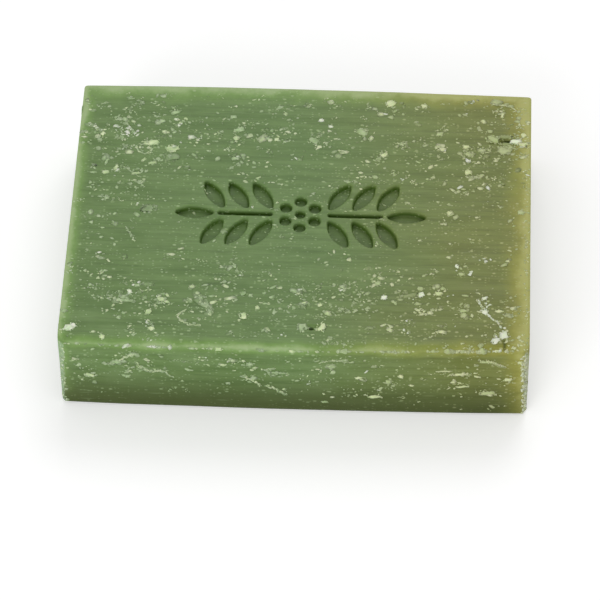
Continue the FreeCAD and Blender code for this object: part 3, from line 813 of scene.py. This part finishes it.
# The larger ones, where the bar shows them: x, y, length, width, height, turn, look
chips = {"top": [
    (-28.3, 16.7, 2.1, 1.3, 0.26, 10, creamy), (-29.6, 16.4, 0.9, 0.6, 0.14, -20, creamy),
    (-24.7, 15.3, 2.3, 1.4, 0.26, 8, creamy), (-24.4, 15.6, 1, 0.8, 0.32, 0, frosty),
    (-24.8, 13.2, 2.5, 1.8, 0.1, 0, film), (-24.6, 13.3, 1.6, 1.1, 0.1, 0, pale),
    (-12.3, 20.5, 2, 1, 0.16, 20, pale), (-5.2, 18.2, 0.9, 0.8, 0.14, 0, creamy),
    (-13, 13.2, 1, 0.7, 0.14, 30, pale), (2.9, 23.3, 0.9, 0.7, 0.14, 10, frosty),
    (4.8, 21.8, 0.9, 0.5, 0.14, -30, frosty), (1.8, 18.2, 1.8, 1.2, 0.14, -20, pale),
    (10.7, 20.5, 2, 1.4, 0.16, -35, pale), (15.9, 28, 1.7, 1.6, 0.18, 40, creamy),
    (22.2, 27.5, 1, 1.1, 0.16, 0, creamy), (15, 15, 1.3, 1, 0.16, 20, creamy),
    (30.7, 11.2, 1.3, 1.1, 0.18, 20, creamy), (27.6, 1.1, 1.1, 1, 0.16, 0, creamy),
    (-28, 0.4, 2.5, 1.8, 0.08, 0, film), (-9.1, -24.4, 1.3, 1.2, 0.24, 0, creamy),
    (-25.6, -27.9, 1.1, 0.9, 0.16, 20, creamy), (-34.3, -30, 1, 0.9, 0.16, -40, creamy),
    (-26.4, -24, 1.1, 1, 0.2, 0, creamy), (-9.5, -19.2, 0.9, 0.9, 0.16, 0, pale),
    (-6.8, -22.4, 0.8, 0.8, 0.16, 0, creamy), (-8.1, -19.6, 0.7, 0.7, 0.14, 0, pale),
    (4.9, -26.6, 1.8, 1.7, 0.22, 10, creamy), (1.7, -26.7, 1.8, 1.7, 0.14, 0, pale),
    (22.8, -18.4, 1.2, 1, 0.28, 10, frosty), (20.6, -18.7, 3, 1, 0.1, 5, film),
    (22.6, -17, 0.8, 1.1, 0.14, 60, pale), (25.9, -18.1, 1.2, 1, 0.2, 0, creamy),
    (26.6, -16.9, 0.8, 0.7, 0.14, 30, pale), (29.1, -11.6, 0.6, 0.9, 0.18, 20, frosty),
    (29.9, -13.4, 1.1, 0.7, 0.16, 10, pale), (30.6, -11.5, 0.8, 0.4, 0.12, 10, pale),
    (34.3, -22.1, 1.1, 1, 0.24, -50, frosty), (34.2, -18.9, 1.1, 0.6, 0.14, 30, frosty),
    (36.9, -21.8, 1.2, 0.6, 0.16, -5, creamy), (37.8, -27.2, 1.9, 1.4, 0.14, -70, frosty),
    (36.4, -28.6, 1.5, 0.9, 0.12, 50, frosty), (30.4, -21.9, 1.6, 0.7, 0.12, 15, pale),
    (-40.5, -28.2, 1.6, 1.4, 0.4, 20, frosty), (-39.8, -27.6, 0.8, 1.1, 0.42, 60, frosty),
    (-38, 18.6, 1, 0.7, 0.24, 60, creamy), (-26.9, -17.6, 2.4, 0.6, 0.1, 0, film),
    (-31, -21.5, 3.4, 0.6, 0.1, -4, pale), (-30.2, -19.4, 0.9, 1, 0.18, 0, frosty),
    (-24.3, -21, 0.8, 1.4, 0.2, 70, creamy), (-23.2, -21.6, 1.1, 0.5, 0.16, -30, creamy),
    (16, -19.3, 1.1, 0.9, 0.16, 0, frosty), (17.9, -20.4, 1.1, 0.6, 0.12, -40, pale),
    (14.8, -16, 1.2, 0.9, 0.14, 30, pale), (4.5, -21.4, 0.8, 0.8, 0.18, 0, creamy),
    (-24.6, 24.4, 1.7, 0.8, 0.14, 20, pale), (-33.5, 27.8, 1.2, 0.6, 0.14, 0, pale),
    (-22.6, 22.9, 0.8, 0.5, 0.14, -30, creamy), (-24.5, 22.7, 0.6, 0.6, 0.16, 0, frosty),
    (-23.8, 21.1, 0.5, 0.5, 0.16, 0, frosty), (-26.5, 19.5, 0.7, 0.7, 0.16, 0, creamy),
    (-29.8, 12.4, 1.1, 0.5, 0.14, 40, creamy), (-28.1, 11.7, 1.3, 0.6, 0.14, 10, creamy),
    (-34.9, 10.3, 1.5, 0.6, 0.14, 75, creamy), (-36.7, 11.9, 1.5, 0.5, 0.14, 70, pale),
    (-36.7, 9.1, 1.3, 0.8, 0.16, 10, creamy), (-39.1, 9, 1.2, 0.4, 0.1, 0, pale),
    (-31, 9, 1.4, 0.5, 0.14, 10, creamy), (36.5, 29, 1, 0.4, 0.1, 0, pale),
    (35.3, 19.6, 2.5, 1.3, 0.5, -6, pale), (39.7, 19.1, 2.1, 1.2, 0.62, -12, frosty),
    (40.9, 18.4, 1.8, 1.1, 0.5, -22, creamy), (41, 20.7, 1, 1, 0.24, 30, creamy),
    (37.5, 20.2, 2.6, 0.7, 0.3, 0, film), (37.8, 18.5, 2.6, 0.8, 0.3, -4, film),
    (37.4, 16.8, 2.4, 1.6, 0.1, -10, pale), (37, 25.6, 0.6, 1, 0.16, 0, creamy),
    (33.4, 24, 0.7, 0.9, 0.14, 0, creamy), (25.3, 20.6, 1.4, 0.9, 0.14, 10, pale),
    (30.3, 17.5, 1.2, 0.8, 0.16, 0, creamy), (30.7, 15.7, 1.3, 0.9, 0.12, -30, pale),
    (-17.5, -20.4, 1.7, 1.1, 0.1, -55, pale), (-16.3, -22, 1.9, 1.1, 0.12, -45, pale),
    (-15.3, -23.4, 1.5, 0.9, 0.1, -70, pale), (-17.8, -19.4, 0.8, 0.6, 0.16, 20, creamy),
], "front": [
    (-28.8, 15.5, 1.6, 0.4, 0.14, 12, pale), (-31.9, 13, 1.8, 0.8, 0.14, 0, pale),
    (-36.9, 8.9, 1.8, 0.8, 0.18, -10, creamy), (-30.7, 9.2, 0.8, 0.6, 0.12, 0, pale),
    (-7.7, 13.7, 0.9, 0.8, 0.14, 0, pale), (-12.6, 13.3, 1, 0.6, 0.12, 0, creamy),
    (7, 13.6, 1.4, 1.3, 0.08, 0, pale), (9.5, 15, 1.6, 0.5, 0.1, 0, film),
    (11.8, 10.4, 1.1, 0.7, 0.12, 0, creamy), (19.5, 11, 0.9, 0.9, 0.2, 0, creamy),
    (27.2, 12.5, 2.4, 0.28, 0.1, 3, creamy), (30.2, 11.6, 3, 0.45, 0.12, 3, creamy),
    (33.2, 11, 1.2, 0.45, 0.12, -20, creamy), (30.8, 8.2, 2.4, 0.45, 0.12, 5, creamy),
    (35.3, 6.3, 2.7, 0.9, 0.12, 0, pale), (38.8, 10.2, 1.5, 0.8, 0.12, 5, creamy),
    (34.6, 15, 1.8, 0.5, 0.12, -5, pale), (36.8, 14.2, 2.6, 0.5, 0.12, -28, film),
    (40.8, 14.9, 0.8, 0.7, 0.14, 0, creamy), (14.8, 5, 2.1, 0.8, 0.14, 0, creamy),
    (5.7, 3.2, 1.1, 0.5, 0.1, 0, pale), (17.2, 9.4, 1.3, 0.9, 0.12, 0, pale),
    (-2.8, 11.4, 3.2, 0.4, 0.1, 0, pale), (21.4, 8.4, 0.9, 0.4, 0.1, -10, creamy),
], "ridge": [
    (-13.3, 0.9, 1.2, 0.7, 0.2, 0, creamy), (-0.05, 0.9, 1.1, 0.5, 0.16, 0, creamy),
    (9.3, 1.3, 1.3, 1, 0.12, 0, pale), (27.7, 1.45, 1.1, 1, 0.1, 0, pale),
    (29.6, 1.35, 0.9, 0.6, 0.1, -10, creamy), (31.2, 1.1, 1, 0.4, 0.08, 0, creamy),
    (33.8, 1.45, 1.5, 1.1, 0.1, 10, pale), (25.2, 1.5, 0.7, 0.6, 0.1, 0, pale),
    (-25.4, 1, 1.5, 0.3, 0.06, 0, frosty), (-24.2, 1, 1, 0.25, 0.06, 0, frosty),
    (17.4, 1.1, 1.8, 0.4, 0.06, 0, film), (36.6, 1.4, 1, 0.5, 0.08, 0, creamy),
]}


def splinter(x, y, long, wide, thick, turn, kind, side):
    # small pieces round a chip's rim, which make it ragged
    c, s = math.cos(math.radians(turn)), math.sin(math.radians(turn))
    for _ in range(int(5 + 4 * long)):
        way, reach = rng.uniform(0, 2 * math.pi), rng.uniform(0.42, 0.64)
        u, v = math.cos(way) * long * reach, math.sin(way) * wide * reach
        size = rng.uniform(0.16, 0.42) * (long + wide) / 2
        at = (x + u * c - v * s, y + (u * s + v * c) * (ridgeSpread if side == "ridge" else 1))
        look = kind if rng.random() < 0.6 else pale
        smallHeap.drop(*at, size, size * rng.uniform(0.4, 0.8), thick * 0.6, rng.uniform(0, 180), look, side)


for side, rows in chips.items():
    for row in rows:
        bigHeap.drop(*row, side)
        splinter(*row, side)
print("chips dropped")

# Crumbs gathered in crusts: x, y, spread along and across, count, look
crusts = {"top": [
    (-38.6, 17.2, 0.5, 1.1, 14, pale), (-34.9, 22.6, 0.9, 0.5, 20, pale),
    (-33.4, 19.3, 1.2, 0.9, 50, frosty), (-30.6, 16, 0.5, 0.5, 12, creamy), (-27, 28.8, 0.8, 0.4, 10, pale),
    (-30.5, 9.6, 1.8, 0.5, 18, pale), (-23.8, 22, 1, 1.2, 12, pale), (10.7, 20.8, 0.9, 0.6, 22, creamy),
    (14.4, 14.8, 0.7, 0.8, 24, pale), (11.8, 26.9, 0.6, 0.4, 10, pale), (30.3, 16.6, 0.6, 0.9, 16, pale),
    (37.8, 16.7, 1.1, 0.9, 34, pale), (34, 22.5, 1, 1.3, 14, pale), (40, 22.4, 0.7, 1.2, 18, creamy),
    (17, 10.8, 1.6, 0.5, 14, pale), (38.6, 26.8, 1.6, 0.8, 16, pale), (-31.4, -20.2, 1.6, 0.8, 44, pale),
    (-24.8, -21.9, 1, 0.8, 36, creamy), (-36.9, -18.4, 1.2, 0.5, 12, pale), (1.6, -21.2, 0.6, 0.6, 12, pale),
    (4, -18.6, 2.4, 0.8, 24, pale), (9.4, -16.6, 1.4, 1, 16, pale), (7.8, -22.4, 1, 0.4, 10, film),
    (15.6, -15, 1.4, 1.2, 22, creamy), (29.9, -12.5, 1, 0.8, 12, frosty), (34.2, -21, 0.7, 1, 16, frosty),
    (30.3, -21, 0.8, 0.7, 16, pale), (26.6, -17.6, 0.9, 0.7, 12, creamy),
    (39.8, -29.2, 0.9, 0.7, 14, creamy), (37.4, -27.8, 0.8, 0.8, 18, frosty), (8.2, -30, 1.2, 0.3, 18, pale),
    (39.4, -21, 1, 3, 12, creamy), (-2, -19.4, 2, 0.8, 10, pale), (-36, -2, 2.6, 3.4, 34, pale),
    (-33, 5.4, 3.2, 1.6, 26, pale), (-28.4, 0.6, 0.9, 0.6, 10, pale), (31, -30.3, 0.7, 0.5, 16, creamy),
    (27.7, -30.3, 0.4, 0.4, 8, pale), (33.9, -30.2, 0.5, 0.5, 10, pale),
], "front": [
    (-31.6, 13.1, 1, 0.4, 24, pale), (-29.3, 15.2, 0.9, 0.3, 12, pale), (-37, 8.8, 0.9, 0.4, 18, creamy),
    (-24.6, 11, 1.3, 0.4, 18, pale), (-8, 13.8, 0.9, 0.5, 14, pale), (-8, 9.8, 0.8, 0.5, 12, pale),
    (-2.7, 11.2, 1.5, 0.3, 12, pale), (6.4, 13.2, 0.7, 0.7, 18, pale), (9.9, 15.2, 1.4, 0.4, 12, pale),
    (17.3, 8.9, 0.8, 0.9, 18, pale), (14.8, 5.2, 0.9, 0.3, 12, creamy), (30.6, 11.6, 1.8, 0.5, 6, creamy),
    (36.4, 14.6, 1.2, 0.8, 3, pale), (38.9, 10.1, 0.8, 0.6, 6, creamy), (33.8, 8.6, 2.5, 0.9, 4, pale),
    (35.3, 6.2, 1, 0.5, 9, creamy), (-18.4, 13.8, 2.5, 0.3, 16, film), (22, 13.6, 2.6, 0.8, 8, pale),
], "ridge": [
    (9, 1.3, 0.6, 0.05, 10, pale), (18.6, 1, 1.8, 0.04, 18, pale), (25.4, 1.4, 0.9, 0.08, 10, pale),
    (28.4, 1.35, 1.2, 0.1, 14, pale), (31, 1.2, 1.2, 0.08, 20, creamy), (34.4, 1.4, 1.2, 0.1, 12, creamy),
    (39.2, 1.4, 1.4, 0.12, 7, creamy), (-24.9, 1, 1, 0.02, 14, frosty), (37, 1.4, 0.8, 0.08, 8, frosty),
]}


def crumbLook():
    return int(rng.choice((film, pale, creamy, frosty), p=(0.14, 0.52, 0.30, 0.04)))


for side, rows in crusts.items():
    for x, y, reachX, reachY, count, kind in rows:
        for _ in range(count):
            at = rng.normal((x, y), (reachX, reachY))
            long = 0.24 + rng.gamma(1.5, 0.2)
            look = kind if rng.random() < 0.55 else pale
            wide = long * rng.uniform(0.4, 0.9)
            smallHeap.drop(*at, long, wide, rng.uniform(0.05, 0.13), rng.normal(0, 40), look, side)

# Ragged shavings that the cutter left: width, look, path
shavings = {"top": [
    (0.8, frosty, [(-41, 20.7), (-40, 20.8), (-39.2, 19.9), (-38.3, 19.3)]),
    (0.4, pale, [(-31.9, -4.1), (-31.2, -5.3), (-30.6, -6.5), (-30, -7.6)]),
    (1.1, creamy, [(-17.9, -19.6), (-17.6, -20.8), (-16.3, -22), (-15.4, -22.6), (-15, -24.4)]),
    (0.4, creamy, [(-19.7, -23.2), (-21.1, -24.6), (-20.6, -25.8), (-18.9, -26.7), (-16.8, -26.9)]),
    (0.25, pale, [(-31.6, 15.6), (-30.9, 14.4), (-29.8, 13.9), (-28.4, 14.3)]),
    (0.22, pale, [(-33.4, 10.6), (-31.8, 9.2), (-30.2, 8)]),
    (0.35, frosty,
     [(33.2, -19.4), (33.6, -20.6), (34.4, -21.8), (35.4, -23.4), (36.6, -24.4), (37.2, -25.6)]),
    (0.25, creamy, [(35.2, 28.4), (37, 28.3), (38.6, 27.9), (39.6, 26.8)]),
], "front": [
    (0.5, creamy, [(-33, 12.6), (-31.6, 13.2), (-30.4, 14.4), (-28.6, 15.6)]),
    (0.6, creamy, [(-28.4, 13), (-27.4, 11.6), (-26, 10.8), (-23.6, 11)]),
    (0.35, pale, [(-23.4, 10.9), (-22.4, 9.6), (-21.6, 9.2)]),
    (0.5, creamy, [(-8.9, 10.4), (-8.2, 9.6), (-7, 8.9), (-5.9, 7.4)]),
    (0.55, creamy, [(-5, 7.6), (-3.4, 6.9), (-2.4, 5.8), (-1.2, 5.2)]),
    (0.25, pale, [(4.8, 14.6), (7, 15.3), (9.2, 15.2)]),
    (0.4, creamy, [(35, 15.3), (36.6, 14.6), (38.2, 13.8)]),
]}


def shave(side, width, kind, path):
    # crumbs in a row, over thin films where the shaving is broad
    path = np.array(path, float)
    steps = np.diff(path, axis=0)
    along = np.concatenate([[0], np.cumsum(np.hypot(steps[:, 0], steps[:, 1]))])
    for place in np.arange(0, along[-1], 0.13):
        here = np.array([np.interp(place, along, path[:, n]) for n in (0, 1)])
        ahead = steps[np.searchsorted(along, place, "right") - 1]
        turn = math.degrees(math.atan2(ahead[1], ahead[0])) + rng.normal(0, 30)
        here += rng.normal(0, width * 0.26) * np.array((-ahead[1], ahead[0])) / np.hypot(*ahead)
        long = rng.uniform(0.3, 0.75) * (0.7 + 0.4 * width)
        look = kind if rng.random() < 0.7 else creamy
        smallHeap.drop(*here, long, long * rng.uniform(0.3, 0.7), rng.uniform(0.06, 0.15), turn, look, side)
        if width > 0.5 and rng.random() < 0.16:
            bigHeap.drop(*here, width * 1.6, width * 1.1, 0.08, turn, film, side)


for side, rows in shavings.items():
    for row in rows:
        shave(side, *row)
print("shavings dropped")

# Crumbs that lie anywhere, in small clusters; the crowds are where they lie thickest
crumbs = {
    # clusters, half the span along, span across, crowds (x, y, reach along and across, share)
    "top": (880, 42.0, -30.6, 29.4, [
        (-31, 17, 9, 7, 0.09), (-12, 20, 8, 6, 0.05), (2, 20, 8, 6, 0.06), (33, 15, 9, 7, 0.11),
        (-30, -20, 9, 3.5, 0.09), (1, -22, 9, 5, 0.06), (18, -20, 8, 4, 0.05), (34, -24, 7, 5, 0.02),
    ]),
    "front": (190, 42.0, 1.0, 16.8, [
        (-33, 12, 7, 4, 0.16), (-6, 11, 8, 4, 0.14), (12, 9, 7, 5, 0.12), (33, 10, 8, 5, 0.02),
    ]),
    "ridge": (28, 42.0, 0.5, 1.3, []),
    "back": (90, 42.0, 1.0, 17.6, []),
    "left": (70, 31.0, 0.8, 18.0, []),
    "right": (80, 31.0, 0.8, 18.0, []),
}


def strew(side, clusters, halfX, y0, y1, crowds):
    across = ridgeSpread if side == "ridge" else 0.4
    lowest = 7.0 if side == "front" else y0 + 1  # the foot of the front has no large ones
    for _ in range(clusters):
        x, y = rng.uniform(-halfX, halfX), rng.uniform(y0, y1)
        pick = rng.random()
        for middleX, middleY, reachX, reachY, share in crowds:
            if 0 <= pick < share:
                x, y = rng.normal(middleX, reachX), rng.normal(middleY, reachY)
            pick -= share
        grow = rng.lognormal(-0.05, 0.28)
        main = crumbLook()
        if rng.random() < 0.06 and abs(x) < halfX - 1 and lowest < y < y1 - 1:
            long = rng.uniform(0.7, 1.4)
            wide, thick, turn = long * rng.uniform(0.4, 0.8), rng.uniform(0.05, 0.1), rng.normal(0, 25)
            bigHeap.drop(x, y, long, wide, thick, turn, film if main > pale else main, side)
        for _ in range(1 + rng.poisson(rng.gamma(1.1, 2.0))):
            cx, cy = x + rng.normal(0, 0.65), y + rng.normal(0, across)
            if abs(cx) > halfX or not y0 < cy < y1:
                continue
            if side == "top" and stampDistance(np.array(cx), np.array(cy)) < 0.4 and rng.random() < 0.75:
                continue
            if side == "front" and rng.random() > (cy - 3) / 9 + (cx > 8) * 0.3:
                continue  # the foot is nearly clean, but for its right half
            long = (0.22 + rng.gamma(1.6, 0.2)) * grow
            wide = long * rng.uniform(0.3, 0.85)
            look = main if rng.random() < 0.6 else crumbLook()
            smallHeap.drop(cx, cy, long, wide, rng.uniform(0.04, 0.11), rng.normal(0, 28), look, side)


for side, row in crumbs.items():
    strew(side, *row)

# Crumbly strips down the two front corners, and crumbs along the right end's rim
for side, count, wide, odds in (
    ("leftCorner", 90, 0.45, (0.6, 0.25, 0.15)),
    ("rightCorner", 190, 0.34, (0.2, 0.3, 0.5)),
):
    for z in rng.uniform(0.4, 16.8, count):
        long = rng.uniform(0.2, 0.75)
        kind = int(rng.choice((pale, creamy, frosty), p=odds))
        shift, turn = rng.uniform(-wide, wide), rng.uniform(0, 180)
        smallHeap.drop(shift, z, long, long * 0.6, rng.uniform(0.05, 0.12), turn, kind, side)
for y in rng.uniform(-30, 20, 110):
    long = rng.uniform(0.2, 0.5)
    kind = int(rng.choice((pale, creamy)))
    smallHeap.drop(rng.uniform(41.3, 42.3), y, long, long * 0.6, 0.08, rng.uniform(0, 180), kind)
bigHeap.make()
smallHeap.make()

# Light and floor
white = (1, 1, 1, 1)
light = {
    "world": 0.55,
    "key": (0.1, 0.5, 0.62, 0.5, 1.8),  # x, y, z, size, power
    "fill": (-0.25, -0.7, 0.3, 0.6, 2.6),
    "floor": (0.8, 0.8, 0.8),
    "lift": 0.36,  # a glow on the floor that the camera alone sees
    "aim": (0, 0, 0.01),
    "reach": 3000,  # half the floor's side, in millimetres
}


def addLamp(name, values):
    *place, size, power = values
    data = bpy.data.lights.new(name, "AREA")
    data.shape, data.size, data.energy = "DISK", size, power
    lamp = bpy.data.objects.new(name, data)
    lamp.location = place
    lamp.rotation_euler = (Vector(light["aim"]) - Vector(place)).to_track_quat("-Z", "Y").to_euler()
    bpy.context.scene.collection.objects.link(lamp)


addLamp("key", light["key"])
addLamp("fill", light["fill"])


def lightWorld():
    # the camera sees a white world, and the bar is lit by a dimmer one
    world = bpy.data.worlds.new("studio")
    bpy.context.scene.world = world
    g = Graph(world)
    room = g.add("Background", {}, {"Color": white, "Strength": light["world"]})
    seen = g.add("Background", {}, {"Color": white})
    byCamera = g.add("LightPath", {}, {}, "Is Camera Ray")
    g.finish(g.add("MixShader", {}, {0: byCamera, 1: room, 2: seen}), "OutputWorld")


lightWorld()


def floorMaterial():
    g = Graph(bpy.data.materials.new("floor"))
    plain = g.add("BsdfDiffuse", {}, {"Color": (*light["floor"], 1)})
    glow = g.add("Emission", {}, {"Color": white, "Strength": light["lift"]})
    both = g.add("AddShader", {}, {0: plain, 1: glow})
    seen = g.add("LightPath", {}, {}, "Is Camera Ray")
    return g.finish(g.add("MixShader", {}, {0: seen, 1: plain, 2: both}))


floorPoints = [(x * light["reach"], y * light["reach"], 0) for x, y in ((-1, -1), (1, -1), (1, 1), (-1, 1))]
floor = addMesh("floor", floorPoints, [(0, 1, 2, 3)], [floorMaterial()], False)
bpy.context.scene.view_settings.view_transform = "Standard"
print("light and floor made")
